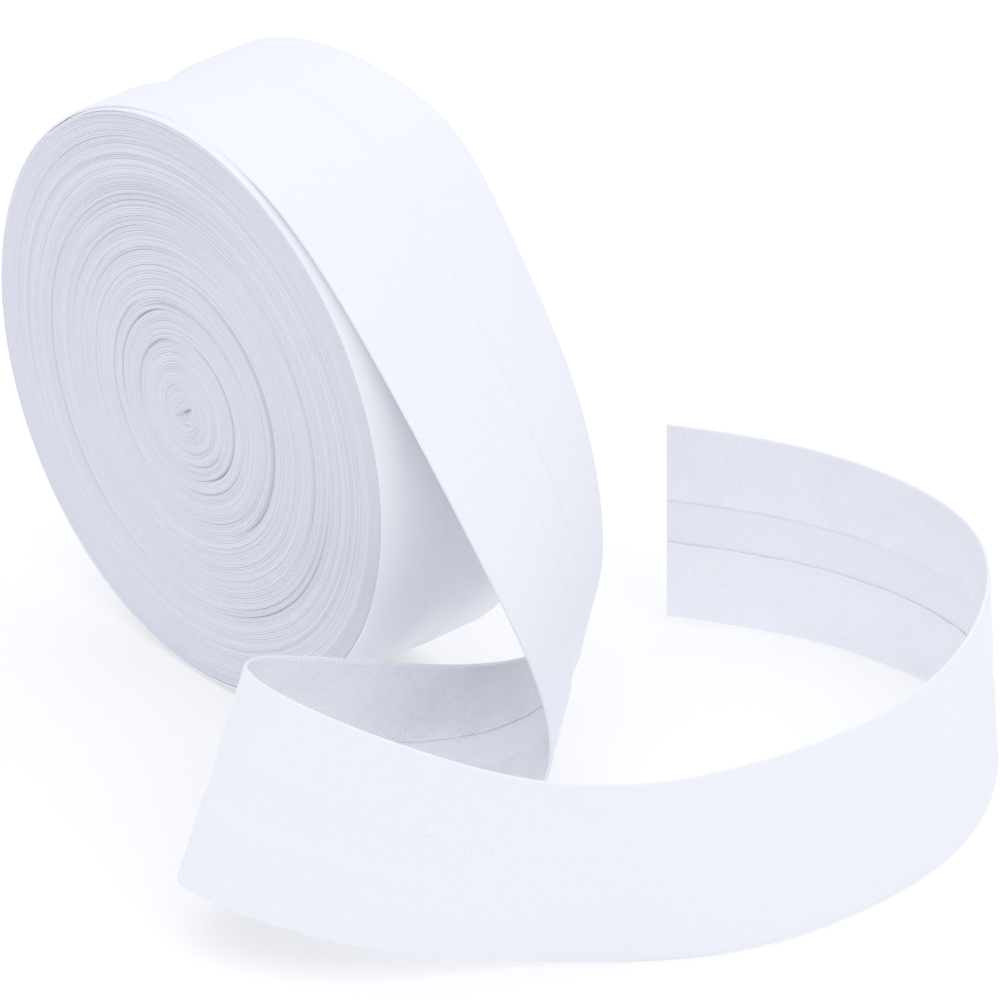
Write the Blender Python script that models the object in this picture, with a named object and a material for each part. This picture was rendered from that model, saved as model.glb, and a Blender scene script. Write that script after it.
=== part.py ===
"""A roll of white bias tape, standing on its rim, with its loose end run off.

The tape is one cotton strip whose two raw edges are folded in towards the middle, so
it has a smooth face, two flaps on its back and a narrow single layer between them.
About 25 m of it is wound on itself without a core. The last turn lifts off the top of
the roll, falls beside it, turns back under the fall, turns again and stands on its
edge in an open loop that ends in a square cut.

Sizes below are in millimetres. X runs from the roll towards the side where the tape
falls, Y is the axis of the roll and Z points up. The origin is the middle of the flat
spot on which the roll stands.
"""

import math

import bmesh
import bpy
import numpy as np

MM = 0.001

# The tape
TAPE_WIDTH = 40.0
FLAP_WIDTH = 15.5
LAYER = 0.6
LAYER_GAP = 0.3
TAPE_THICKNESS = 2 * LAYER + LAYER_GAP
MIDDLE_SAG = 0.5
FOLD_STEPS = 4
SECTIONS_PER_STATION = 5

# The roll
ROLL_RADIUS = 60.5
ROLL_HALF_WIDTH = 20.0
FLAT_SPOT_DEPTH = 0.25
AXIS_HEIGHT = ROLL_RADIUS - FLAT_SPOT_DEPTH
ANGLE_STEP = 5.0

# The seat of the last turn: angles are counted from the top of the roll towards +X.
SEAT_CLEARANCE = 0.5
SEAT_DEPTH = TAPE_THICKNESS + SEAT_CLEARANCE
SEAT_CLIFF_TOP = -46.0
SEAT_CLIFF_FOOT = -45.5
SEAT_LEVEL_END = 15.0
SEAT_EASED_OUT = 45.0

# The groove round the rim, over the single layer between the flaps
GROOVE_DEPTH = 1.1
GROOVE_FLOOR_HALF = 3.5
GROOVE_TOP_HALF = 7.0
GROOVE_ENDS_AT = 24.0
GROOVE_FULL_AT = 50.0

# Rounded corner between a face and the rim: inset from the outline, inset from the face
CORNER_RINGS = (
    (1.3, 0.0),
    (0.4, 0.35),
    (0.0, 1.2),
)

# Face of the roll, from the pinched centre out: radius, and how deep it lies. The
# deeper rings are the places where the turns have slipped against each other.
FACE_RINGS = (
    (3.0, 0.9),
    (8.0, 0.3),
    (13.0, 0.1),
    (14.0, 0.6),
    (15.0, 0.2),
    (21.0, 0.1),
    (27.2, 0.1),
    (28.2, 0.7),
    (29.2, 0.25),
    (44.0, 0.1),
)
CORE_DEPTH = 1.4

# The loose tape, station by station along its length. Each row is one straight line
# across the cloth: the end on the near edge, which becomes the lower one, and the end
# on the far edge, which becomes the upper one.
# name, near edge x y z, far edge x y z
STATIONS = (
    ("seat", (-42.5, -20.0, 102.5), (-42.5, 20.0, 102.5)),
    ("top back", (-27.5, -20.0, 113.5), (-27.5, 20.0, 115.5)),
    ("top", (-7.5, -20.0, 120.0), (-3.0, 20.0, 123.0)),
    ("brow", (17.0, -20.5, 119.0), (24.5, 19.0, 122.5)),
    ("fall", (47.0, -21.0, 103.5), (41.0, 18.5, 114.5)),
    ("drop", (81.0, -15.0, 59.0), (54.0, 20.0, 96.5)),
    ("right turn in", (93.0, -11.5, 35.5), (66.5, 22.5, 71.0)),
    ("right turn", (95.5, -11.5, 22.0), (71.5, 23.0, 40.5)),
    ("right turn out", (92.0, -16.0, 11.5), (67.5, 17.5, 25.0)),
    ("rear right", (81.5, -28.5, 3.0), (63.0, 11.0, 20.5)),
    ("rear left", (69.5, -48.0, 1.5), (59.0, 4.5, 20.0)),
    ("left turn in", (65.0, -62.0, 5.5), (55.5, -13.5, 26.0)),
    ("left turn", (66.0, -74.5, 10.5), (57.0, -49.0, 42.5)),
    ("left turn out", (75.0, -77.5, 12.5), (82.5, -58.5, 48.5)),
    ("front left", (91.0, -70.5, 10.5), (110.0, -47.5, 45.5)),
    ("front dip", (107.0, -54.5, 6.0), (122.5, -35.5, 42.0)),
    ("front middle", (122.0, -30.0, 0.8), (128.0, -27.0, 40.5)),
    ("front right", (138.5, -5.5, 0.3), (135.5, -13.5, 40.0)),
    ("loop in", (145.0, 23.0, 0.3), (142.5, 15.0, 40.0)),
    ("loop near", (142.0, 51.0, 0.3), (139.0, 47.0, 40.0)),
    ("loop far", (128.0, 75.0, 0.3), (122.5, 75.5, 40.3)),
    ("loop out", (107.5, 86.0, 0.3), (97.5, 89.0, 40.0)),
    ("return", (76.5, 81.5, 0.4), (66.5, 85.0, 40.0)),
    ("cut end", (49.0, 62.5, 2.5), (41.5, 68.5, 41.5)),
)

# Name, colour, roughness
FACE_CLOTH = ("wound tape, seen on its edges", (0.70, 0.71, 0.80), 0.9)
TAPE_CLOTH = ("white cotton tape", (0.86, 0.87, 0.93), 0.75)


def clear_scene():
    """Start from an empty scene."""
    for old in list(bpy.data.objects):
        bpy.data.objects.remove(old, do_unlink=True)


def cloth_material(description):
    """A plain matt cloth in the colour of one part."""
    name, colour, roughness = description
    material = bpy.data.materials.new(name)
    material.use_nodes = True
    shader = material.node_tree.nodes["Principled BSDF"]
    shader.inputs["Base Color"].default_value = (*colour, 1.0)
    shader.inputs["Roughness"].default_value = roughness
    shader.inputs["Metallic"].default_value = 0.0
    return material


def finish_object(name, mesh_data, material, parent, sharp_angle):
    """Make one closed, outward-facing object of a mesh that is given in millimetres."""
    bmesh.ops.triangulate(mesh_data, faces=mesh_data.faces, quad_method="FIXED")
    bmesh.ops.recalc_face_normals(mesh_data, faces=mesh_data.faces)
    bmesh.ops.scale(mesh_data, vec=(MM, MM, MM), verts=mesh_data.verts)
    mesh = bpy.data.meshes.new(name)
    mesh_data.to_mesh(mesh)
    mesh_data.free()
    mesh.materials.append(material)
    mesh.shade_smooth()
    mesh.set_sharp_from_angle(angle=math.radians(sharp_angle))
    made = bpy.data.objects.new(name, mesh)
    made.parent = parent
    bpy.context.collection.objects.link(made)
    return made


def smooth_ramp(value, start, end):
    """0 up to start, 1 from end on, and an even S between them."""
    share = min(max((value - start) / (end - start), 0.0), 1.0)
    return share * share * (3.0 - 2.0 * share)


def outline_radius(angle):
    """Radius of the rim: round but for the seat of the last turn, which starts at a cliff."""
    cliff = min(max((angle - SEAT_CLIFF_TOP) / (SEAT_CLIFF_FOOT - SEAT_CLIFF_TOP), 0.0), 1.0)
    eased = 1.0 - smooth_ramp(angle, SEAT_LEVEL_END, SEAT_EASED_OUT)
    return ROLL_RADIUS - SEAT_DEPTH * cliff * eased


def groove_depth(angle):
    """Depth of the groove round the rim, which the weight of the roll closes at its foot."""
    from_foot = 180.0 - abs(angle)
    return GROOVE_DEPTH * smooth_ramp(from_foot, GROOVE_ENDS_AT, GROOVE_FULL_AT)


def rim_angles():
    """Even steps round the roll, with both ends of the cliff put in."""
    even = list(np.arange(-180.0, 180.0, ANGLE_STEP))
    near_cliff = [a for a in even if abs(a - SEAT_CLIFF_TOP) < 1.5]
    kept = [a for a in even if a not in near_cliff]
    return sorted(kept + [SEAT_CLIFF_TOP, SEAT_CLIFF_FOOT])


def roll_rings():
    """Rings of the roll from its near face to its far one: (kind, radius or inset, y)."""
    near_face = [("face", radius, -ROLL_HALF_WIDTH + depth) for radius, depth in FACE_RINGS]
    near_corner = [("rim", inset, -ROLL_HALF_WIDTH + back) for inset, back in CORNER_RINGS]
    near_groove = [("rim", 0.0, -GROOVE_TOP_HALF), ("groove", 0.0, -GROOVE_FLOOR_HALF)]
    near = near_face + near_corner + near_groove
    far = [(kind, size, -y) for kind, size, y in reversed(near)]
    return near + far


def ring_point(kind, size, y, angle):
    """One point of a ring, with the foot of the roll pressed flat on the floor."""
    if kind == "face":
        radius = size
    elif kind == "rim":
        radius = outline_radius(angle) - size
    else:
        radius = outline_radius(angle) - groove_depth(angle)
    turn = math.radians(angle)
    height = max(AXIS_HEIGHT + radius * math.cos(turn), 0.0)
    return (radius * math.sin(turn), y, height)


def build_roll(parent):
    """The wound roll, one solid: two faces pinched at the centre and a grooved rim."""
    data = bmesh.new()
    angles = rim_angles()
    rings = []
    for kind, size, y in roll_rings():
        rings.append([data.verts.new(ring_point(kind, size, y, angle)) for angle in angles])
    for ring, following in zip(rings, rings[1:]):
        for i in range(len(angles)):
            j = (i + 1) % len(angles)
            data.faces.new((ring[i], ring[j], following[j], following[i]))
    for ring, side in ((rings[0], -1.0), (rings[-1], 1.0)):
        centre = data.verts.new((0.0, side * (ROLL_HALF_WIDTH - CORE_DEPTH), AXIS_HEIGHT))
        for i in range(len(angles)):
            data.faces.new((ring[i], ring[(i + 1) % len(angles)], centre))
    return finish_object("wound_roll", data, cloth_material(FACE_CLOTH), parent, 40.0)


def fold_arc(side):
    """The rounded fold at one edge of the tape, from the face round to the flap."""
    radius = TAPE_THICKNESS / 2.0
    centre = side * (TAPE_WIDTH / 2.0 - radius)
    points = []
    for step in range(1, FOLD_STEPS + 1):
        turn = math.pi * step / FOLD_STEPS
        points.append((centre + side * radius * math.sin(turn), radius * math.cos(turn)))
    return points


def half_section(side):
    """Points of one half of the folded tape, from the face round the flap to the inside."""
    half = TAPE_THICKNESS / 2.0
    inner = LAYER_GAP / 2.0
    flap_end = side * (TAPE_WIDTH / 2.0 - FLAP_WIDTH)
    fold_start = side * (TAPE_WIDTH / 2.0 - half)
    points = [(flap_end, half), (fold_start, half)]
    points += fold_arc(side)
    points += [(flap_end, -half), (flap_end, -inner), (fold_start, -inner)]
    points += [(fold_start + side * inner, 0.0), (fold_start, inner), (flap_end, inner)]
    return points


def tape_section():
    """Closed section of the folded tape: (place across it, height over its middle plane).

    It is a flat C: the face layer on top, and a flap folded under it at each edge.
    """
    half = TAPE_THICKNESS / 2.0
    inner = LAYER_GAP / 2.0
    upper_middle = [(0.0, half - MIDDLE_SAG)]
    lower_middle = [(0.0, inner - MIDDLE_SAG)]
    return upper_middle + half_section(1.0) + lower_middle + half_section(-1.0)[::-1]


def smooth_through(points, per_interval):
    """Natural cubic curve through the given points, and its direction at each place."""
    points = np.array(points)
    count = len(points)
    system = np.eye(count)
    right_side = np.zeros_like(points)
    for i in range(1, count - 1):
        system[i, i - 1:i + 2] = (1.0, 4.0, 1.0)
        right_side[i] = 6.0 * (points[i - 1] - 2.0 * points[i] + points[i + 1])
    bend = np.linalg.solve(system, right_side)
    places = np.linspace(0.0, count - 1.0, (count - 1) * per_interval + 1)
    first = np.minimum(places.astype(int), count - 2)
    b = (places - first)[:, None]
    a = 1.0 - b
    start, end = points[first], points[first + 1]
    start_bend, end_bend = bend[first], bend[first + 1]
    curve = a * start + b * end + ((a ** 3 - a) * start_bend + (b ** 3 - b) * end_bend) / 6.0
    slope = end - start + ((1.0 - 3.0 * a * a) * start_bend + (3.0 * b * b - 1.0) * end_bend) / 6.0
    return curve, slope


def unit(vectors):
    """The same directions, one long each."""
    return vectors / np.linalg.norm(vectors, axis=1, keepdims=True)


def build_tail(parent):
    """The loose end of the tape, one folded strip swept along its stations."""
    near, near_way = smooth_through([row[1] for row in STATIONS], SECTIONS_PER_STATION)
    far, far_way = smooth_through([row[2] for row in STATIONS], SECTIONS_PER_STATION)
    along = unit(unit(near_way) + unit(far_way))
    outward = unit(np.cross(along, far - near))
    section = tape_section()
    data = bmesh.new()
    rings = []
    for start, end, out in zip(near, far, outward):
        ring = []
        for across, height in section:
            share = across / TAPE_WIDTH + 0.5
            point = start + share * (end - start) + height * out
            ring.append(data.verts.new(point))
        rings.append(ring)
    count = len(section)
    for ring, following in zip(rings, rings[1:]):
        for i in range(count):
            j = (i + 1) % count
            data.faces.new((ring[i], following[i], following[j], ring[j]))
    data.faces.new(rings[0])
    data.faces.new(rings[-1][::-1])
    return finish_object("loose_tail", data, cloth_material(TAPE_CLOTH), parent, 50.0)


def main():
    """Build the roll and its loose end under one empty."""
    clear_scene()
    base = bpy.data.objects.new("bias_tape_roll", None)
    bpy.context.collection.objects.link(base)
    build_roll(base)
    build_tail(base)


main()
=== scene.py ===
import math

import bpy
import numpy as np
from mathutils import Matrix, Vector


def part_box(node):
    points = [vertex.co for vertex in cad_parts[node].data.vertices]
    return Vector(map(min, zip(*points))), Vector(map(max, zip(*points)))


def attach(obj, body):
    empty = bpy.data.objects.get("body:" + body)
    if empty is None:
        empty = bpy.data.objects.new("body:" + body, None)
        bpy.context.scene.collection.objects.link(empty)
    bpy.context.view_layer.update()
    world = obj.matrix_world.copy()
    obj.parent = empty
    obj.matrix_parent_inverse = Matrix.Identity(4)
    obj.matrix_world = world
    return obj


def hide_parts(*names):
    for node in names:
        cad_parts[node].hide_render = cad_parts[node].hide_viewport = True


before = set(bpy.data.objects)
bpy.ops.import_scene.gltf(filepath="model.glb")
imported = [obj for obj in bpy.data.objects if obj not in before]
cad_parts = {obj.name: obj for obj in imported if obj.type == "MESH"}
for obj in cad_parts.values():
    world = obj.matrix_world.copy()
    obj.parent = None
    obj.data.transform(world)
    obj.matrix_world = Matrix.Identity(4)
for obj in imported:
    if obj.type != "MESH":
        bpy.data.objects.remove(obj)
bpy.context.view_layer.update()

# The looks of a roll of white bias tape that stands on its rim with its end run off.
#
# The tape is one strip of cotton with both raw edges folded in. Here it is made as three
# pieces: the two halves of the wound roll, whose faces show every turn as a small ridge
# of the spiral, and one strip of folded cloth. The strip is the last full turn of the
# roll and then the loose end, so it covers the rim and runs off without a break.
#
# Sizes are in millimetres. Angles on the roll are counted from its top towards +X.

MM = 0.001

# The roll, read from the frame
ROLL_LOW, ROLL_HIGH = (np.array(corner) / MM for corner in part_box("wound_roll"))
ROLL_RADIUS = (ROLL_HIGH[0] - ROLL_LOW[0]) / 2.0
HALF_WIDTH = (ROLL_HIGH[1] - ROLL_LOW[1]) / 2.0
FLAT_SPOT_DEPTH = 0.25
AXIS_HEIGHT = ROLL_RADIUS - FLAT_SPOT_DEPTH

# The tape: folded width, flaps, and one layer of its cloth
TAPE_WIDTH = 2.0 * HALF_WIDTH
FLAP_WIDTH = 15.5
FLAP_END = TAPE_WIDTH / 2.0 - FLAP_WIDTH
CLOTH = 0.23

# Distance between the middles of the two layers: wound tight on the roll, and on the
# loose end at its folds and where the flaps lie against the face. The layers part towards
# the fold from this far out.
TIGHT_GAP = 0.24
LOOSE_FOLD_GAP = 0.46
LOOSE_FLAP_GAP = 0.34
PARTS_FROM = 14.0
TIGHT_HALF = (TIGHT_GAP + CLOTH) / 2.0

# The last turn on the roll. It starts under the loose end, as one more ridge of the
# spiral. The roll isn't quite round: on the side towards the fall its near edge is lower,
# and the tape rounds over to it.
TURN_START = -44.0
SEAT_ANGLE = 314.83
LAST_TURN_STEPS = 24
LAST_TURN_WIDTH = 39.7

# angle, radius of the near edge, radius of the far edge, y of the near edge, rounding
LAST_TURN = (
    (-44.0, 59.46, 59.46, -19.70, 0.2),
    (-28.0, 59.40, 59.46, -19.45, 0.2),
    (-20.0, 59.15, 59.46, -19.50, 0.2),
    (-9.5, 58.87, 59.55, -19.60, 0.2),
    (14.0, 58.50, 59.80, -19.80, 0.3),
    (30.0, 58.35, 59.90, -19.90, 0.7),
    (45.0, 58.30, 60.00, -19.90, 1.5),
    (60.0, 58.30, 60.10, -19.90, 1.9),
    (110.0, 58.35, 60.15, -19.90, 1.9),
    (150.0, 58.90, 60.15, -19.85, 1.2),
    (180.0, 59.40, 60.15, -19.80, 0.5),
    (210.0, 59.65, 60.15, -19.75, 0.4),
    (270.0, 59.75, 60.15, -19.70, 0.4),
    (300.0, 59.85, 60.05, -19.70, 0.3),
    (316.0, 59.94, 59.94, -19.70, 0.3),
)
ROUNDING_REACH = 6.0
TAIL_ROUNDING = 0.4
FOOT_REACH = 0.5

# A table is read as the average of its values at these shares of a spread, so that it
# has no corners: the spread of an angle in degrees, and of a radius in millimetres
EASING_STEPS = (-1.0, -0.5, 0.0, 0.5, 1.0)
ANGLE_SPREAD = 8.0
RADIUS_SPREAD = 4.0

# The loose end, on the solid's own stations. Where it lies on the roll it is up to 2 mm
# lower and further back, as the cloth is thinner there. Each row is one straight line
# across the cloth: its end on the near edge, and its end on the far edge.
STATIONS = (
    ("seat", (-42.5, -19.6, 102.5), (-42.5, 20.3, 102.5)),
    ("top back", (-28.5, -19.2, 112.9), (-28.2, 20.7, 115.1)),
    ("top", (-9.7, -18.4, 118.8), (-4.6, 21.3, 122.1)),
    ("brow", (14.5, -18.4, 117.4), (21.8, 21.3, 120.9)),
    ("fall", (45.0, -18.6, 101.5), (38.5, 20.9, 112.9)),
    ("drop", (81.0, -15.0, 59.0), (53.6, 20.5, 96.2)),
    ("right turn in", (93.0, -11.5, 35.5), (66.5, 22.5, 71.0)),
    ("right turn", (95.5, -11.5, 22.0), (71.5, 23.0, 40.5)),
    ("right turn out", (92.0, -16.0, 11.5), (67.5, 17.5, 25.0)),
    ("rear right", (81.5, -28.5, 3.0), (63.0, 11.0, 20.5)),
    ("rear left", (69.5, -48.0, 1.5), (59.0, 4.5, 20.0)),
    ("left turn in", (65.0, -62.0, 5.5), (55.5, -13.5, 26.0)),
    ("left turn", (66.0, -74.5, 10.5), (57.0, -49.0, 42.5)),
    ("left turn out", (75.0, -77.5, 12.5), (82.5, -58.5, 48.5)),
    ("front left", (91.0, -70.5, 10.5), (110.0, -47.5, 45.5)),
    ("front dip", (107.0, -54.5, 6.0), (122.5, -35.5, 42.0)),
    ("front middle", (122.0, -30.0, 0.8), (128.0, -27.0, 40.5)),
    ("front right", (138.5, -5.5, 0.3), (135.5, -13.5, 40.0)),
    ("loop in", (145.0, 23.0, 0.3), (142.5, 15.0, 40.0)),
    ("loop near", (142.0, 51.0, 0.3), (139.0, 47.0, 40.0)),
    ("loop far", (128.0, 75.0, 0.3), (122.5, 75.5, 40.3)),
    ("loop out", (107.5, 86.0, 0.3), (97.5, 89.0, 40.0)),
    ("return", (76.5, 81.5, 0.4), (66.5, 85.0, 40.0)),
    ("cut end", (49.0, 62.5, 2.5), (41.5, 68.5, 41.5)),
)
SECTIONS_PER_STATION = 16
FLOOR_CLEARANCE = 0.02

# Past the seat the cloth is still wound tight for this far, and from there loosens
LOOSENS_FROM = 5.0
LOOSE_FROM = 60.0

# The rim's groove is followed up to this many degrees past the seat
GROOVE_RUNS_ON = 20.0

# Half of the folded section, as places across the tape from its middle out
FACE_PLACES = (1.5, 3.0, 3.6, 4.2, 4.8, 6.0, 8.0, 11.0, 14.0, 16.0, 17.5, 18.6, 19.2)
FLAP_PLACES = (19.2, 18.6, 17.5, 16.0, 13.5, 10.0, 7.0, 5.7, 5.25, 4.85)
FOLD_STEPS = 6

# On the roll the middle of the tape sinks into a groove between the flaps, which are
# double from turn to turn
RIM_SAG = 1.1
SAG_FLOOR_HALF = 3.5
SAG_TOP_HALF = 7.5
SAG_ENDS_AT = 24.0
SAG_FULL_AT = 50.0

# On the loose end only the single layer between the flaps sinks, until it is almost level
# with them, and the edge of each flap shows through the face as a faint line
LOOSE_SAG = 0.30
LOOSE_SAG_FLOOR_HALF = 3.1
LOOSE_SAG_TOP_HALF = 4.8
FLAP_LINE_HEIGHT = 0.07
FLAP_LINE_PLACE = 0.4
FLAP_LINE_HALF = 0.45

# How the flaps of the loose end stand off. At the cut end the upper flap, which is the
# second one, comes away a little.
FLAP_LIFT = 0.02
FLAP_LIFT_WAVE = 0.02
FLAP_LIFT_RUN = 28.0
FLAP_LIFT_CURVE = 1.6
END_LIFTS = (0.0, 0.04)
END_LIFT_LENGTH = 30.0

# Beside its raw edge each flap stands up a little, and the edge itself is pressed down.
# The edge isn't cut quite straight, and it frays.
RAW_ROLLS = (0.12, 0.03)
RAW_ROLL_PLACE = 0.35
RAW_ROLL_HALF = 0.25
RAW_EDGE_PRESSED = 0.08
RAW_EDGE_WAVE = 0.14
RAW_EDGE_WAVE_RUN = 3.5
RAW_EDGE_FRAY = 0.06
RAW_EDGE_FRAY_RUN = 0.9
CLOTH_SHARP_ANGLE = 55.0

# The spiral on the faces. Uneven values are pairs: how much, and over how many turns.
TURNS = 122
SAMPLES_PER_TURN = 6
FACE_ANGLES = 120
CORE_START = 0.35
TURN_STEPS_UNEVEN = ((0.22, 3.0), (0.10, 1.0))
RIDGE_HEIGHT = 0.29
RIDGE_ROUNDNESS = 2.2
RIDGE_UNEVEN = (0.65, 0.37)
TURN_WANDER = (0.13, 0.28)
FACE_DEPTH = 0.15
OUTLINE_REACH = 4.0

# Wide shallow waves over many turns: how deep, and how far apart in millimetres
FACE_WAVES = ((0.10, 2.3), (0.12, 7.0))

# The outermost turns step back, so the near corner of the roll is a little rounded, but
# not on the side towards the fall: this ends and starts again between these angles
CORNER_REACH = 2.2
NEAR_CORNER = 0.12
CORNER_ENDS = (0.0, 25.0)
CORNER_STARTS = (110.0, 170.0)

# Where the turns are centred, as the roll was wound by hand: radius, shift in X and Z
CENTRE_DRIFT = (
    (0.0, -0.9, -1.9),
    (6.0, -0.6, -1.2),
    (14.0, -0.1, -0.4),
    (27.0, -0.1, 0.4),
    (44.0, 0.3, 0.3),
    (56.0, 0.0, 0.0),
)

# Half the width of a groove between turns, in turns, and how much wider a deep one is.
# It is full depth up to this share of its run.
SLIP_HALF_WIDTH = 0.5
SLIP_WIDENING = 0.2
SLIP_FULL_SHARE = 0.35

# Places where turns have slipped against each other and left a deeper groove:
# radius, angle of its middle, half the angle that it runs, depth
SLIPS = (
    (5.5, -60.0, 60.0, 0.35),
    (9.0, 130.0, 60.0, 0.40),
    (11.5, 140.0, 50.0, 0.45),
    (14.0, -65.0, 60.0, 1.00),
    (14.7, 88.0, 90.0, 2.20),
    (17.5, 140.0, 50.0, 0.45),
    (19.7, -65.0, 60.0, 1.30),
    (20.8, 15.0, 60.0, 0.90),
    (22.3, -90.0, 70.0, 1.10),
    (24.0, 130.0, 50.0, 0.40),
    (26.8, 74.0, 85.0, 3.40),
    (28.5, -85.0, 50.0, 0.35),
    (31.5, -35.0, 45.0, 0.40),
    (33.5, -70.0, 50.0, 0.35),
    (36.5, -50.0, 40.0, 0.40),
    (38.5, 80.0, 50.0, 0.70),
    (39.4, 35.0, 30.0, 0.40),
    (41.3, -25.0, 50.0, 0.30),
    (41.6, 130.0, 45.0, 0.50),
    (42.5, -25.0, 55.0, 0.45),
    (43.2, -100.0, 65.0, 0.80),
    (43.3, 128.0, 45.0, 0.80),
    (43.8, -20.0, 45.0, 0.40),
    (47.5, -70.0, 45.0, 0.40),
    (49.0, 110.0, 55.0, 0.35),
    (51.0, -75.0, 50.0, 0.45),
    (54.5, -60.0, 60.0, 0.35),
    (56.3, 95.0, 60.0, 0.35),
)

# The centre, where the first turn was folded on itself: its depth and reach, and short
# creases across it, each from one place to another in X and Z, with its depth
CORE_DEPTH = 0.5
CORE_REACH = 3.0
CREASE_HALF = 0.32
CORE_CREASES = (
    ((-3.2, -3.3), (1.3, -0.1), 1.3),
    ((-4.5, -0.6), (-2.3, 1.6), 0.5),
    ((-1.6, -4.6), (2.2, -3.4), 0.5),
)
CREASE_ENDS = 0.12
CREASE_ANGLE = 54.0
CREASE_FLATTENING = 0.45

# Rings of the hidden wall under the last turn: place across, and inset from the face's edge
WALL_RINGS = ((18.6, 0.02), (12.0, 0.08), (7.5, 0.08), (5.5, 0.45), (3.5, 1.25), (0.0, 1.25))

# Where each kind of unevenness starts in the random numbers
NEAR_FACE_SEED = 101
FAR_FACE_SEED = 201
TURN_SEED = 11
LIFT_SEED = 31
RAW_EDGE_SEED = 41
FRAY_SEED = 51

# Colours of the cloth, linear
# Painted shade: the wound edges are the tape's own cotton, coloured darker and bluer than it
EDGE_SHADED_COLOUR = (0.76, 0.767, 0.865)
TAPE_COLOUR = (0.905, 0.92, 0.98)
# Painted light: the flaps are the same cotton as the face, coloured lighter
FLAP_LIT_COLOUR = (0.925, 0.94, 1.0)
BACK_COLOUR = (0.89, 0.905, 0.965)
FLOOR_COLOUR = (0.92, 0.915, 0.90)
FLOOR_GLOW = 0.14
FLOOR_HALF = 3000.0
FLOOR_GRAIN_SCALE = 300.0

# The weave, seen on each side of the cloth: pitch of the main and of the crossing
# threads in millimetres, and share of the main ones
FACE_WEAVE = (0.60, 0.45, 0.65)
FLAP_WEAVE = (0.60, 0.45, 0.7)
BACK_WEAVE = (0.45, 0.60, 0.5)

# How much painted shade darkens the cloth between the threads, and how deep there, in millimetres.
# On the wound edges the painted shade lies where the fuzz is low, mixed with faint clouds.
FACE_SHADE_AND_DEPTH = (0.04, 0.055)
FLAP_SHADE_AND_DEPTH = (0.14, 0.18)
BACK_SHADE_AND_DEPTH = (0.09, 0.06)
EDGE_SHADE_AND_DEPTH = (0.10, 0.025)

# Threads wander, and patches of the weave are fainter: noise scales and amounts
WANDER_SCALE = 0.35
THREAD_WANDER = 0.3
PATCH_SCALE = 0.12
FAINTEST = 0.35
PATCH_RANGE = 0.9

# The flaps' weave is this rough where the strip starts, and less with each millimetre, and so is its
# painted shade
FLAP_ROUGH_AT_START = 1.6
FLAP_ROUGH_LOSS = 0.001

# Fuzz and faint clouds on the wound edges, as noise scales
FUZZ_SCALE = 1900.0
CLOUD_SCALE = 60.0

# Soft studio light: the white surroundings, and a soft lamp aimed at the roll, with its
# azimuth, elevation, distance and width in metres, and watts
SURROUNDINGS_COLOUR = (0.92, 0.935, 1.0)
HORIZON_STRENGTH = 0.375
ZENITH_STRENGTH = 1.43
LAMPS = (
    ("right", 95.0, 45.0, 1.5, 0.8, 1.0),
)

# How far the picture's darker tones are lifted
SHADE_LIFT = 1.45

# Camera: the photograph's view, in millimetres and pixels
VIEW_AZIMUTH = 48.5
VIEW_ELEVATION = 30.0
VIEW_TARGET = (14.4, 48.1, 20.0)
VIEW_DISTANCE = 900.0
FOCAL_PIXELS = 4430.0
IMAGE_PIXELS = 1000.0
SENSOR = 36.0


def smooth_ramp(value, start, end):
    """0 up to start, 1 from end on, and an even S between them."""
    share = np.clip((np.asarray(value, float) - start) / (end - start), 0.0, 1.0)
    return share * share * (3.0 - 2.0 * share)


def unit(vectors):
    """The same directions, one long each."""
    return vectors / np.linalg.norm(vectors, axis=-1, keepdims=True)


def smooth_through(points, per_interval):
    """Natural cubic curve through the given points, and its direction at each place."""
    points = np.array(points, float)
    count = len(points)
    system = np.eye(count)
    right_side = np.zeros_like(points)
    for i in range(1, count - 1):
        system[i, i - 1:i + 2] = (1.0, 4.0, 1.0)
        right_side[i] = 6.0 * (points[i - 1] - 2.0 * points[i] + points[i + 1])
    bend = np.linalg.solve(system, right_side)
    places = np.linspace(0.0, count - 1.0, (count - 1) * per_interval + 1)
    first = np.minimum(places.astype(int), count - 2)
    b = (places - first)[:, None]
    a = 1.0 - b
    start, end = points[first], points[first + 1]
    start_bend, end_bend = bend[first], bend[first + 1]
    curve = a * start + b * end + ((a ** 3 - a) * start_bend + (b ** 3 - b) * end_bend) / 6.0
    slope = end - start + ((1.0 - 3.0 * a * a) * start_bend + (3.0 * b * b - 1.0) * end_bend) / 6.0
    return curve, slope


def soft_noise(places, spacing, seed):
    """Smooth uneven values, about -1 to 1, that change over the given spacing."""
    places = np.asarray(places, float) / spacing
    low = math.floor(places.min()) - 1
    values = np.random.default_rng(seed).uniform(-1.0, 1.0, int(places.max()) - low + 4)
    whole = np.floor(places).astype(int)
    share = places - whole
    share = share * share * (3.0 - 2.0 * share)
    return values[whole - low] * (1.0 - share) + values[whole - low + 1] * share


def table_value(rows, column, place, spread):
    """A column of a table, read at a place in its first column and eased over a spread."""
    places = [row[0] for row in rows]
    values = [row[column] for row in rows]
    nearby = [np.interp(np.asarray(place) + spread * step, places, values) for step in EASING_STEPS]
    return sum(nearby) / len(nearby)


def last_turn_radius(angle, side):
    """Radius of an edge of the last turn, -1 near and 1 far, flat where the roll stands."""
    angle = np.asarray(angle, float)
    radius = table_value(LAST_TURN, 1 if side < 0.0 else 2, angle, ANGLE_SPREAD)
    down = np.maximum(-np.cos(np.radians(angle)), FOOT_REACH)
    return np.minimum(radius, (AXIS_HEIGHT - TIGHT_HALF) / down)


def near_edge_y(angle):
    """Where the near edge of the last turn lies along the roll's axis."""
    return table_value(LAST_TURN, 3, angle, ANGLE_SPREAD)


def near_rounding(angle):
    """How far the last turn rounds over towards its near edge."""
    return table_value(LAST_TURN, 4, angle, ANGLE_SPREAD)


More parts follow.
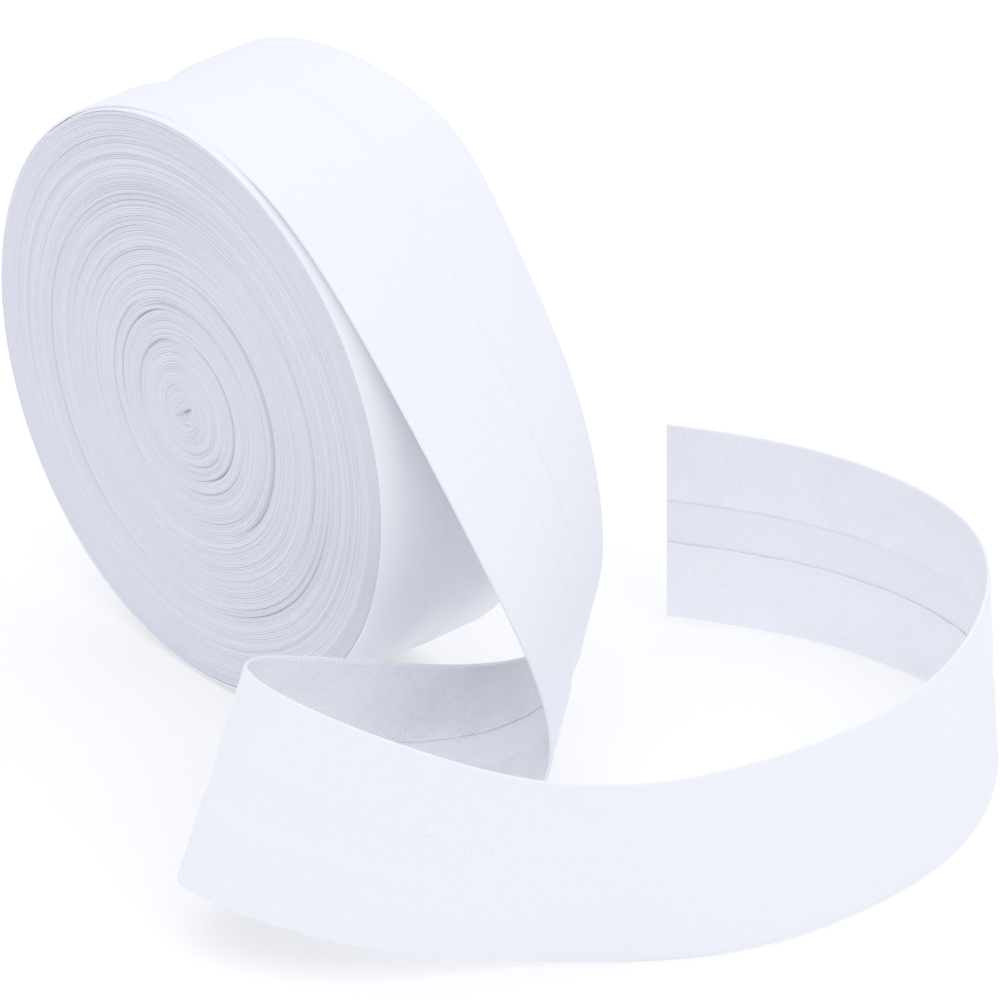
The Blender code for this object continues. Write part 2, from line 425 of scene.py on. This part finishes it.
def rim_sag(angle):
    """Depth of the groove along the rim, which the weight of the roll closes at its foot."""
    from_foot = np.abs((np.asarray(angle, float) % 360.0) - 180.0)
    return RIM_SAG * smooth_ramp(from_foot, SAG_ENDS_AT, SAG_FULL_AT)


def sag_share(place, floor_half, top_half):
    """How much of a sag reaches a place across the tape."""
    return 1.0 - float(smooth_ramp(abs(place), floor_half, top_half))


def add_piece(name, points, faces, materials, face_materials=None, sharp_angle=None):
    """An object at the origin, with its mesh given in millimetres."""
    mesh = bpy.data.meshes.new(name)
    mesh.from_pydata((np.asarray(points) * MM).tolist(), [], faces)
    for material in materials:
        mesh.materials.append(material)
    if face_materials is not None:
        mesh.polygons.foreach_set("material_index", face_materials)
    mesh.shade_smooth()
    if sharp_angle is not None:
        mesh.set_sharp_from_angle(angle=math.radians(sharp_angle))
    mesh.update()
    made = bpy.data.objects.new(name, mesh)
    bpy.context.collection.objects.link(made)
    return made


def set_map(piece, name, coordinates):
    """A surface map in metres, from one pair of cloth coordinates for each point."""
    mesh = piece.data
    layer = mesh.uv_layers.new(name=name)
    corners = np.empty(len(mesh.loops), dtype=np.int32)
    mesh.loops.foreach_get("vertex_index", corners)
    layer.data.foreach_set("uv", (np.asarray(coordinates)[corners] * MM).ravel())


# Materials


class Nodes:
    """A short way to build a material's node tree."""

    def __init__(self, name, colour, roughness):
        self.material = bpy.data.materials.new(name)
        self.material.use_nodes = True
        self.tree = self.material.node_tree
        self.shader = self.tree.nodes["Principled BSDF"]
        self.shader.inputs["Base Color"].default_value = (*colour, 1.0)
        self.shader.inputs["Roughness"].default_value = roughness

    def put(self, socket, value):
        """Set a socket to a number, a colour or another node's result."""
        if isinstance(value, bpy.types.NodeSocket):
            self.tree.links.new(value, socket)
        else:
            socket.default_value = value

    def math(self, operation, first, second=0.0):
        """The result of one sum."""
        node = self.tree.nodes.new("ShaderNodeMath")
        node.operation = operation
        self.put(node.inputs[0], first)
        self.put(node.inputs[1], second)
        return node.outputs[0]

    def cloth_place(self, name):
        """Place across the cloth and along it, in millimetres."""
        source = self.tree.nodes.new("ShaderNodeUVMap")
        source.uv_map = name
        parts = self.tree.nodes.new("ShaderNodeSeparateXYZ")
        self.put(parts.inputs[0], source.outputs[0])
        across = self.math("MULTIPLY", parts.outputs[0], 1.0 / MM)
        along = self.math("MULTIPLY", parts.outputs[1], 1.0 / MM)
        return across, along

    def vector(self, x, y, z=0.0):
        """Three numbers as one place."""
        node = self.tree.nodes.new("ShaderNodeCombineXYZ")
        for socket, value in zip(node.inputs, (x, y, z)):
            self.put(socket, value)
        return node.outputs[0]

    def object_place(self):
        """Place on the object itself, in metres."""
        return self.tree.nodes.new("ShaderNodeTexCoord").outputs["Object"]

    def wave(self, place, pitch):
        """An even wave from 0 to 1, with the pitch in the units of the place."""
        sine = self.math("SINE", self.math("MULTIPLY", place, 2.0 * math.pi / pitch))
        return self.math("ADD", self.math("MULTIPLY", sine, 0.5), 0.5)

    def noise(self, place, scale, detail=2.0):
        """Soft noise from 0 to 1."""
        node = self.tree.nodes.new("ShaderNodeTexNoise")
        self.put(node.inputs["Vector"], place)
        node.inputs["Scale"].default_value = scale
        node.inputs["Detail"].default_value = detail
        return node.outputs[0]

    def mix(self, share, first, second):
        """Two colours mixed by a share."""
        node = self.tree.nodes.new("ShaderNodeMix")
        node.data_type = "RGBA"
        self.put(node.inputs[0], share)
        self.put(node.inputs[6], (*first, 1.0))
        self.put(node.inputs[7], (*second, 1.0))
        return node.outputs[2]

    def bump(self, height, depth):
        """Raise the surface by a height from 0 to 1, times a depth in millimetres."""
        node = self.tree.nodes.new("ShaderNodeBump")
        node.inputs["Strength"].default_value = 1.0
        node.inputs["Distance"].default_value = depth * MM
        self.put(node.inputs["Height"], height)
        self.put(self.shader.inputs["Normal"], node.outputs[0])

    def finish(self, sheen, sheen_roughness, specular):
        """The cloth's soft sheen, the same all over."""
        self.shader.inputs["Sheen Weight"].default_value = sheen
        self.shader.inputs["Sheen Roughness"].default_value = sheen_roughness
        self.shader.inputs["Specular IOR Level"].default_value = specular
        return self.material


def darker(colour, share):
    """A colour brought down by a share."""
    return tuple(channel * (1.0 - share) for channel in colour)


def weave(nodes, main_pitch, cross_pitch, main_share):
    """Diagonal threads of cloth cut on the bias, as a height from 0 to 1."""
    across, along = nodes.cloth_place("cloth")
    wobble = nodes.noise(nodes.vector(across, along), WANDER_SCALE)
    main = nodes.math("MULTIPLY", nodes.math("SUBTRACT", across, along), math.sqrt(0.5))
    main = nodes.math("ADD", main, nodes.math("MULTIPLY", wobble, THREAD_WANDER))
    cross = nodes.math("MULTIPLY", nodes.math("ADD", across, along), math.sqrt(0.5))
    main_wave = nodes.math("MULTIPLY", nodes.wave(main, main_pitch), main_share)
    cross_wave = nodes.math("MULTIPLY", nodes.wave(cross, cross_pitch), 1.0 - main_share)
    threads = nodes.math("ADD", main_wave, cross_wave)
    uneven = nodes.noise(nodes.vector(across, along), PATCH_SCALE, 3.0)
    strength = nodes.math("ADD", nodes.math("MULTIPLY", uneven, PATCH_RANGE), FAINTEST)
    return nodes.math("MULTIPLY", threads, strength)


def paint_shade_and_raise(nodes, height, colour, between, depth):
    """Colour and raise a surface by a height, with painted shade between the threads, darker there
    by a share.
    """
    shade = nodes.mix(height, darker(colour, between), colour)
    nodes.put(nodes.shader.inputs["Base Color"], shade)
    nodes.bump(height, depth)


def tape_face_material():
    """The smooth side of the cotton, out on the tape."""
    nodes = Nodes("tape_face", TAPE_COLOUR, 0.72)
    # Painted shade between the threads, with their bump
    paint_shade_and_raise(nodes, weave(nodes, *FACE_WEAVE), TAPE_COLOUR, *FACE_SHADE_AND_DEPTH)
    return nodes.finish(0.12, 0.4, 0.25)


def tape_flap_material():
    """The same side of the cotton on the turned-in flaps, with a rougher weave, coloured lighter as
    painted light, and with painted shade between its threads.

    The weave is pressed flatter towards the cut end, and its painted shade fades with it.
    """
    nodes = Nodes("tape_flap", FLAP_LIT_COLOUR, 0.8)
    along = nodes.cloth_place("cloth")[1]
    loss = nodes.math("MULTIPLY", along, FLAP_ROUGH_LOSS)
    rough = nodes.math("SUBTRACT", FLAP_ROUGH_AT_START, loss)
    grooves = nodes.math("MULTIPLY", weave(nodes, *FLAP_WEAVE), rough)
    between, depth = FLAP_SHADE_AND_DEPTH
    # Painted shade in the grooves of the weave
    shade = nodes.mix(grooves, FLAP_LIT_COLOUR, darker(FLAP_LIT_COLOUR, between))
    nodes.put(nodes.shader.inputs["Base Color"], shade)
    nodes.bump(nodes.math("SUBTRACT", 1.0, grooves), depth)
    return nodes.finish(0.10, 0.5, 0.2)


def tape_back_material():
    """The back of the cotton, which shows between the flaps and at the raw edges."""
    nodes = Nodes("tape_back", BACK_COLOUR, 0.85)
    # Painted shade between the threads, with their bump
    paint_shade_and_raise(nodes, weave(nodes, *BACK_WEAVE), BACK_COLOUR, *BACK_SHADE_AND_DEPTH)
    return nodes.finish(0.08, 0.5, 0.2)


def wound_edges_material():
    """The folded edges of all the turns, pressed side by side: matt, a little fuzzy, coloured darker
    and bluer than the tape as painted shade, and darker where the fuzz lies low as painted shade,
    mixed with faint clouds.
    """
    nodes = Nodes("wound_edges", EDGE_SHADED_COLOUR, 0.9)
    place = nodes.object_place()
    fuzz = nodes.noise(place, FUZZ_SCALE, 3.0)
    clouds = nodes.noise(place, CLOUD_SCALE, 2.0)
    half_fuzz = nodes.math("MULTIPLY", fuzz, 0.5)
    shade = nodes.math("ADD", half_fuzz, nodes.math("MULTIPLY", clouds, 0.5))
    # Painted shade where the fuzz lies low, mixed with faint clouds of uneven tone
    between, depth = EDGE_SHADE_AND_DEPTH
    mixed = nodes.mix(shade, darker(EDGE_SHADED_COLOUR, between), EDGE_SHADED_COLOUR)
    nodes.put(nodes.shader.inputs["Base Color"], mixed)
    nodes.bump(fuzz, depth)
    return nodes.finish(0.10, 0.5, 0.15)


def floor_material():
    """A plain pale sheet under the roll."""
    nodes = Nodes("pale_floor", FLOOR_COLOUR, 0.9)
    grain = nodes.noise(nodes.object_place(), FLOOR_GRAIN_SCALE, 2.0)
    shade = nodes.mix(grain, darker(FLOOR_COLOUR, 0.01), FLOOR_COLOUR)
    nodes.put(nodes.shader.inputs["Base Color"], shade)
    nodes.shader.inputs["Emission Color"].default_value = (1.0, 1.0, 1.0, 1.0)
    nodes.shader.inputs["Emission Strength"].default_value = FLOOR_GLOW
    return nodes.finish(0.0, 0.5, 0.1)


# The wound roll


def turn_radii(side):
    """Radius of each turn's start before the roll was pressed out of round."""
    turns = np.arange(TURNS + 2)
    steps = 1.0
    for i, (amount, run) in enumerate(TURN_STEPS_UNEVEN):
        steps = steps + amount * soft_noise(turns, run, TURN_SEED + i)
    radii = np.concatenate(([0.0], np.cumsum(steps[:-1])))
    reach = last_turn_radius(TURN_START, side) - TIGHT_HALF - CORE_START
    return CORE_START + radii * reach / radii[TURNS]


def face_grid(side):
    """The spiral's points on a face: turn number, share of the ridge, angle, and radius.

    Points run by angle and then outward. The last column of angles repeats the first one
    a turn further out, so that the spiral closes on itself.
    """
    angle_index = np.arange(FACE_ANGLES + 1)[:, None]
    ring = np.arange(TURNS * SAMPLES_PER_TURN + 1)[None, :]
    turn = ring // SAMPLES_PER_TURN + 0 * angle_index
    share = (ring % SAMPLES_PER_TURN) / SAMPLES_PER_TURN + 0.0 * angle_index
    angle = TURN_START + 360.0 * angle_index / FACE_ANGLES + 0.0 * ring
    wound = ring / SAMPLES_PER_TURN + angle_index / FACE_ANGLES
    radii = turn_radii(side)
    radius = np.interp(wound, np.arange(len(radii)), radii)
    outer = last_turn_radius(angle[:, -1], side) - TIGHT_HALF
    off = outer - radius[:, -1]
    off = off - (off[-1] - off[0]) * np.linspace(0.0, 1.0, FACE_ANGLES + 1)
    radius = radius + off[:, None] * (radius / radius[:, -1:]) ** OUTLINE_REACH
    return turn, share, angle, wound, radius


def slip_depth(turn, share, angle, radii):
    """Depth of the deeper grooves, each of which follows one line of the spiral."""
    depth = np.zeros_like(angle)
    for slip_radius, middle, half_run, slip in SLIPS:
        slipped = float(np.argmin(np.abs(radii - slip_radius)))
        for lap in (-1.0, 0.0, 1.0):
            off_line = np.abs(turn + share - slipped - lap)
            along = np.abs(angle + 360.0 * lap - middle) / half_run
            half_width = SLIP_HALF_WIDTH + SLIP_WIDENING * slip
            width = np.clip(1.0 - off_line / half_width, 0.0, 1.0)
            depth += slip * width * (1.0 - smooth_ramp(along, SLIP_FULL_SHARE, 1.0))
    return depth


def crease_depth(x, z):
    """Depth of the short creases at the centre."""
    depth = np.zeros_like(x)
    for start, end, crease in CORE_CREASES:
        run = np.subtract(end, start)
        from_x, from_z = x - start[0], z - start[1]
        share = np.clip((from_x * run[0] + from_z * run[1]) / (run @ run), 0.0, 1.0)
        off = np.hypot(from_x - share * run[0], from_z - share * run[1])
        swell = np.sin(math.pi * np.clip(share, CREASE_ENDS, 1.0 - CREASE_ENDS))
        depth += crease * swell * np.exp(-((off / CREASE_HALF) ** 2))
    return depth


def corner_depth(angle, radius, side):
    """How far the outermost turns step back behind the face's plane."""
    if side > 0.0:
        return np.zeros_like(radius)
    towards_fall = smooth_ramp(angle, *CORNER_ENDS) * (1.0 - smooth_ramp(angle, *CORNER_STARTS))
    share = np.clip(1.0 - (radius[:, -1:] - radius) / CORNER_REACH, 0.0, 1.0)
    return NEAR_CORNER * (1.0 - towards_fall) * share * share


def face_depth(turn, share, angle, wound, radius, side, seed):
    """How deep each point lies behind the face's plane."""
    own = turn + (wound - turn - share)
    ridge = 1.0 - np.abs(2.0 * share - 1.0) ** RIDGE_ROUNDNESS
    uneven, run = RIDGE_UNEVEN
    height = RIDGE_HEIGHT * (1.0 + uneven * soft_noise(own, run, seed))
    amount, run = TURN_WANDER
    wander = amount * soft_noise(own, run, seed + 1)
    before = amount * soft_noise(own - 1.0, run, seed + 1)
    wander = np.where(share == 0.0, (wander + before) / 2.0, wander)
    waves = 0.0
    for i, (amount, spacing) in enumerate(FACE_WAVES):
        waves = waves + amount * soft_noise(radius, spacing, seed + 3 + i)
    core = CORE_DEPTH * np.exp(-(radius / CORE_REACH) ** 2)
    slips = slip_depth(turn, share, angle, turn_radii(side))
    corner = corner_depth(angle, radius, side)
    return FACE_DEPTH + height * (1.0 - ridge) + wander + waves + core + slips + corner


def face_points(side, seed):
    """Points of one face of the roll; side is -1 for the near face and 1 for the far one."""
    turn, share, angle, wound, radius = face_grid(side)
    depth = face_depth(turn, share, angle, wound, radius, side, seed)
    way = np.radians(angle)
    x = radius * np.sin(way)
    z = radius * np.cos(way)
    crease = math.radians(CREASE_ANGLE)
    along = x * math.sin(crease) + z * math.cos(crease)
    over = x * math.cos(crease) - z * math.sin(crease)
    over = over * (1.0 - CREASE_FLATTENING * np.exp(-(radius / CORE_REACH) ** 2))
    x = along * math.sin(crease) + over * math.cos(crease)
    z = along * math.cos(crease) - over * math.sin(crease)
    x = x + table_value(CENTRE_DRIFT, 1, radius, RADIUS_SPREAD)
    z = z + table_value(CENTRE_DRIFT, 2, radius, RADIUS_SPREAD)
    y = side * (HALF_WIDTH - depth - crease_depth(x, z))
    return np.stack([x, y, z + AXIS_HEIGHT], axis=-1)


def grid_number(column, ring, rings):
    """The index of a point of a face; the last column is the first, a turn further out."""
    if column < FACE_ANGLES:
        return column * rings + ring
    if ring + SAMPLES_PER_TURN < rings:
        return ring + SAMPLES_PER_TURN
    return FACE_ANGLES * rings + ring + SAMPLES_PER_TURN - rings


def grid_faces(rings):
    """The faces between the points of one face of the roll."""
    faces = []
    for column in range(FACE_ANGLES):
        for ring in range(rings - 1):
            corners = ((0, 0), (1, 0), (1, 1), (0, 1))
            faces.append(tuple(grid_number(column + i, ring + j, rings) for i, j in corners))
    return faces


def fill_centre(points, faces, rings):
    """Close the small hole at the start of the spiral with one middle point."""
    inner = [grid_number(column, 0, rings) for column in range(FACE_ANGLES)]
    inner += [grid_number(0, ring, rings) for ring in range(SAMPLES_PER_TURN, 0, -1)]
    middle = len(points)
    points.append(np.mean([points[i] for i in inner], axis=0).tolist())
    for start, end in zip(inner, inner[1:] + inner[:1]):
        faces.append((middle, end, start))


def wall_point(edge_point, side, across, inset):
    """A point of the wall, straight across the rim from a point of the face's edge."""
    x, _, z = edge_point
    up = z - AXIS_HEIGHT
    angle = math.degrees(math.atan2(x, up))
    angle += 360.0 if angle < TURN_START else 0.0
    slant = float(last_turn_radius(angle, -side) - last_turn_radius(angle, side))
    slant *= (HALF_WIDTH - across) / (2.0 * HALF_WIDTH)
    radius = math.hypot(x, up)
    shrink = (radius + slant - inset) / radius
    return [x * shrink, side * across, AXIS_HEIGHT + up * shrink]


def add_wall(points, faces, rings, side):
    """The wall from the face's edge to the middle of the roll, under the last turn."""
    edge = [grid_number(column, rings - 1, rings) for column in range(FACE_ANGLES + 1)]
    inward = range(1, SAMPLES_PER_TURN)
    edge += [grid_number(FACE_ANGLES, rings - 1 - back, rings) for back in inward]
    lower = edge
    for across, inset in WALL_RINGS:
        upper = list(range(len(points), len(points) + len(edge)))
        points += [wall_point(points[i], side, across, inset) for i in edge]
        for i in range(len(edge)):
            j = (i + 1) % len(edge)
            faces.append((lower[i], lower[j], upper[j], upper[i]))
        lower = upper


def build_half_roll(name, side, seed, material):
    """One half of the wound roll: its face, ridge by ridge, and the wall under the rim."""
    grid = face_points(side, seed)
    rings = grid.shape[1]
    points = grid[:FACE_ANGLES].reshape(-1, 3).tolist()
    points += grid[FACE_ANGLES, rings - SAMPLES_PER_TURN:].tolist()
    faces = grid_faces(rings)
    fill_centre(points, faces, rings)
    add_wall(points, faces, rings, side)
    if side < 0.0:
        faces = [face[::-1] for face in faces]
    return add_piece(name, points, faces, [material])


# The strip of tape


def strip_stations():
    """Near and far edge of the strip: once round the roll, and then the loose end."""
    near, far = [], []
    for step in range(LAST_TURN_STEPS):
        angle = TURN_START + (SEAT_ANGLE - TURN_START) * step / LAST_TURN_STEPS
        turn = math.radians(angle)
        y = float(near_edge_y(angle))
        for edge, side, place in ((near, -1.0, y), (far, 1.0, y + LAST_TURN_WIDTH)):
            radius = float(last_turn_radius(angle, side))
            edge.append((radius * math.sin(turn), place, AXIS_HEIGHT + radius * math.cos(turn)))
    near += [row[1] for row in STATIONS]
    far += [row[2] for row in STATIONS]
    return near, far


def section_path():
    """Places across the tape and layer of each point, from one raw edge to the other.

    Each point is (side, kind, place): on the face layer, on the flap, or on the fold,
    where the place is the angle round it.
    """
    half = [("face", place) for place in FACE_PLACES]
    half += [("fold", math.pi * step / FOLD_STEPS) for step in range(FOLD_STEPS + 1)]
    half += [("flap", place) for place in FLAP_PLACES]
    half += [("flap end", FLAP_END)]
    left = [(-1.0, kind, place) for kind, place in half]
    right = [(1.0, kind, place) for kind, place in half]
    return left[::-1] + [(1.0, "face", 0.0)] + right


def face_height(across, free):
    """How high the face layer lies at a place, with its sag and the line of the flap."""
    loose_sag = free * LOOSE_SAG * sag_share(across, LOOSE_SAG_FLOOR_HALF, LOOSE_SAG_TOP_HALF)
    from_line = (across - FLAP_END - FLAP_LINE_PLACE) / FLAP_LINE_HALF
    return FLAP_LINE_HEIGHT * math.exp(-from_line * from_line) - loose_sag


def raw_roll(across, flap, at_end):
    """How far a flap stands up beside its raw edge, less what the edge is pressed down."""
    from_roll = (across - FLAP_END - RAW_ROLL_PLACE) / RAW_ROLL_HALF
    roll = RAW_ROLLS[flap] * math.exp(-from_roll * from_roll)
    return roll - RAW_EDGE_PRESSED if at_end else roll


def strip_section(free, sag, rounding, lift, raw_edges):
    """Middle line of the cloth across one section: place across, and height.

    free is 0 on the roll and 1 on the loose end.
    """
    fold_gap = TIGHT_GAP + (LOOSE_FOLD_GAP - TIGHT_GAP) * free
    flap_gap = TIGHT_GAP + (LOOSE_FLAP_GAP - TIGHT_GAP) * free
    centre = TAPE_WIDTH / 2.0 - fold_gap / 2.0 - CLOTH / 2.0
    places, heights = [], []
    for side, kind, place in section_path():
        across = centre + fold_gap / 2.0 * math.sin(place) if kind == "fold" else place
        if kind == "flap end":
            across = FLAP_END + raw_edges[0 if side < 0.0 else 1]
        if kind == "fold":
            height = fold_gap / 2.0 * math.cos(place)
        else:
            gap = flap_gap + (fold_gap - flap_gap) * float(smooth_ramp(across, PARTS_FROM, centre))
            if kind == "face":
                height = gap / 2.0 + face_height(across, free)
            else:
                flap = 0 if side < 0.0 else 1
                off = lift[flap] * ((centre - across) / (centre - FLAP_END)) ** FLAP_LIFT_CURVE
                height = -gap / 2.0 - off - free * raw_roll(across, flap, kind == "flap end")
        from_edge = min((TAPE_WIDTH / 2.0 + side * across) / ROUNDING_REACH, 1.0)
        crown = rounding * (0.5 - side * across / TAPE_WIDTH) * (1.0 - (1.0 - from_edge) ** 2)
        places.append(side * across)
        heights.append(height - sag * sag_share(across, SAG_FLOOR_HALF, SAG_TOP_HALF) + crown)
    return np.array(places), np.array(heights)


def strip_rings(near, far, outward, along_place, angles):
    """Both surfaces of the cloth at every section."""
    seat_section = LAST_TURN_STEPS * SECTIONS_PER_STATION
    seat = along_place[seat_section]
    end = along_place[-1]
    free = smooth_ramp(along_place, seat + LOOSENS_FROM, seat + LOOSE_FROM)
    to_end = np.exp(-(end - along_place) / END_LIFT_LENGTH)
    lifts = []
    edges = []
    for side in range(2):
        wave = soft_noise(along_place, FLAP_LIFT_RUN, LIFT_SEED + side)
        wave = FLAP_LIFT + FLAP_LIFT_WAVE * wave
        lifts.append(free * (wave + END_LIFTS[side] * to_end))
        edge = RAW_EDGE_WAVE * soft_noise(along_place, RAW_EDGE_WAVE_RUN, RAW_EDGE_SEED + side)
        fray = soft_noise(along_place, RAW_EDGE_FRAY_RUN, FRAY_SEED + side)
        edges.append(edge + RAW_EDGE_FRAY * fray)
    outer, inner = [], []
    for i in range(len(near)):
        sag = float(rim_sag(angles[i])) * (1.0 - free[i])
        rounding = TAIL_ROUNDING * (1.0 - free[i])
        if i <= seat_section:
            rounding = float(near_rounding(angles[i]))
        lift = (lifts[0][i], lifts[1][i])
        places, heights = strip_section(free[i], sag, rounding, lift, (edges[0][i], edges[1][i]))
        way = unit(np.stack([np.gradient(places), np.gradient(heights)], axis=1))
        for surface, step in ((outer, CLOTH / 2.0), (inner, -CLOTH / 2.0)):
            across = places - way[:, 1] * step
            up = heights + way[:, 0] * step
            share = (across / TAPE_WIDTH + 0.5)[:, None]
            surface.append(near[i] + share * (far[i] - near[i]) + up[:, None] * outward[i])
    return np.array(outer), np.array(inner)


def cloth_coordinates(path):
    """Place of each section point on the unfolded cloth, across it."""
    fold_centre = TAPE_WIDTH / 2.0 - LOOSE_FOLD_GAP / 2.0
    result = []
    for side, kind, place in path:
        if kind == "face":
            across = place
        elif kind == "fold":
            across = fold_centre + place * LOOSE_FOLD_GAP / 2.0
        else:
            across = 2.0 * fold_centre + math.pi * LOOSE_FOLD_GAP / 2.0 - place
        result.append(side * across)
    return np.array(result)


def strip_faces(count, across_count):
    """The strip's faces and their materials: 0 face, 1 back and raw edges, 2 flaps."""
    faces, kinds = [], []

    def quad(corners, kind):
        """One face, from each corner's surface, 0 outer or 1 inner, section and place."""
        rows = [surface * count + section for surface, section, _ in corners]
        places = [place for _, _, place in corners]
        faces.append(tuple(row * across_count + place for row, place in zip(rows, places)))
        kinds.append(kind)

    last = across_count - 1
    flap_points = len(FLAP_PLACES)
    for i in range(count - 1):
        for j in range(last):
            on_flap = j < flap_points or j >= last - flap_points
            outer = ((0, i, j), (0, i + 1, j), (0, i + 1, j + 1), (0, i, j + 1))
            quad(outer, 2 if on_flap else 0)
            quad(((1, i, j), (1, i, j + 1), (1, i + 1, j + 1), (1, i + 1, j)), 1)
        quad(((0, i, 0), (1, i, 0), (1, i + 1, 0), (0, i + 1, 0)), 1)
        quad(((0, i, last), (0, i + 1, last), (1, i + 1, last), (1, i, last)), 1)
    end = count - 1
    for j in range(last):
        quad(((0, 0, j), (0, 0, j + 1), (1, 0, j + 1), (1, 0, j)), 1)
        quad(((0, end, j), (1, end, j), (1, end, j + 1), (0, end, j + 1)), 1)
    return faces, kinds


def build_strip(materials):
    """The tape itself: the last turn on the roll and the loose end, one folded sheet."""
    near_points, far_points = strip_stations()
    near, near_way = smooth_through(near_points, SECTIONS_PER_STATION)
    far, far_way = smooth_through(far_points, SECTIONS_PER_STATION)
    along = unit(unit(near_way) + unit(far_way))
    outward = unit(np.cross(along, far - near))
    middle = (near + far) / 2.0
    steps = np.linalg.norm(np.diff(middle, axis=0), axis=1)
    along_place = np.concatenate(([0.0], np.cumsum(steps)))
    turned = np.arange(len(near)) / (LAST_TURN_STEPS * SECTIONS_PER_STATION)
    angles = np.minimum(TURN_START + (SEAT_ANGLE - TURN_START) * turned, SEAT_ANGLE + GROOVE_RUNS_ON)
    outer, inner = strip_rings(near, far, outward, along_place, angles)
    points = np.concatenate([outer.reshape(-1, 3), inner.reshape(-1, 3)])
    points[:, 2] = np.maximum(points[:, 2], FLOOR_CLEARANCE)
    faces, kinds = strip_faces(len(near), outer.shape[1])
    strip = add_piece("tape_strip", points, faces, materials, kinds, CLOTH_SHARP_ANGLE)
    across = cloth_coordinates(section_path())
    flat = np.stack(np.meshgrid(along_place, across, indexing="ij")[::-1], axis=-1).reshape(-1, 2)
    set_map(strip, "cloth", np.concatenate([flat, flat]))
    return strip, float(along_place[-1])


# Stage


def build_floor():
    """A wide pale floor."""
    signs = ((-1.0, -1.0), (1.0, -1.0), (1.0, 1.0), (-1.0, 1.0))
    corners = [(x * FLOOR_HALF, y * FLOOR_HALF, 0.0) for x, y in signs]
    floor = add_piece("pale_floor", corners, [(0, 1, 2, 3)], [floor_material()])


def direction(azimuth, elevation):
    """Unit vector from the roll towards a place that lies at these angles."""
    a, e = math.radians(azimuth), math.radians(elevation)
    return Vector((math.sin(a) * math.cos(e), -math.cos(a) * math.cos(e), math.sin(e)))


def build_light():
    """White surroundings, dim at the horizon and bright overhead, and a soft lamp."""
    world = bpy.data.worlds.new("soft_studio")
    bpy.context.scene.world = world
    world.use_nodes = True
    background = world.node_tree.nodes["Background"]
    background.inputs["Color"].default_value = (*SURROUNDINGS_COLOUR, 1.0)
    place = world.node_tree.nodes.new("ShaderNodeTexCoord")
    parts = world.node_tree.nodes.new("ShaderNodeSeparateXYZ")
    height = world.node_tree.nodes.new("ShaderNodeMapRange")
    height.inputs["To Min"].default_value = HORIZON_STRENGTH
    height.inputs["To Max"].default_value = ZENITH_STRENGTH
    world.node_tree.links.new(place.outputs["Generated"], parts.inputs[0])
    world.node_tree.links.new(parts.outputs[2], height.inputs["Value"])
    world.node_tree.links.new(height.outputs[0], background.inputs["Strength"])
    for name, azimuth, elevation, distance, width, watts in LAMPS:
        lamp = bpy.data.lights.new(name, "AREA")
        lamp.shape = "DISK"
        lamp.size = width
        lamp.energy = watts
        light = bpy.data.objects.new(name, lamp)
        way = direction(azimuth, elevation)
        light.location = Vector(VIEW_TARGET) * MM + way * distance
        light.rotation_euler = way.to_track_quat("Z", "Y").to_euler()
        bpy.context.collection.objects.link(light)


def plain_colours():
    """Plain colours, so that white cloth stays white, with the shades lifted as in the photo."""
    settings = bpy.context.scene.view_settings
    settings.view_transform = "Standard"
    settings.gamma = SHADE_LIFT


def build_camera():
    """The photograph's view of the roll."""
    back = direction(VIEW_AZIMUTH, VIEW_ELEVATION)
    lens = bpy.data.cameras.new("camera")
    lens.sensor_width = SENSOR
    lens.lens = SENSOR * FOCAL_PIXELS / IMAGE_PIXELS
    camera = bpy.data.objects.new("camera", lens)
    camera.location = (Vector(VIEW_TARGET) + back * VIEW_DISTANCE) * MM
    camera.rotation_euler = back.to_track_quat("Z", "Y").to_euler()
    bpy.context.collection.objects.link(camera)
    bpy.context.scene.camera = camera


def main():
    """Dress the roll and its loose end, and set up the view."""
    build_camera()
    plain_colours()
    build_light()
    build_floor()
    edges = wound_edges_material()
    near_half = build_half_roll("wound_edges_near", -1.0, NEAR_FACE_SEED, edges)
    far_half = build_half_roll("wound_edges_far", 1.0, FAR_FACE_SEED, edges)
    cloths = [tape_face_material(), tape_back_material(), tape_flap_material()]
    strip, length = build_strip(cloths)
    for piece in (near_half, far_half):
        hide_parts("wound_roll")
        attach(piece, "root")
    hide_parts("loose_tail")
    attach(strip, "root")


main()
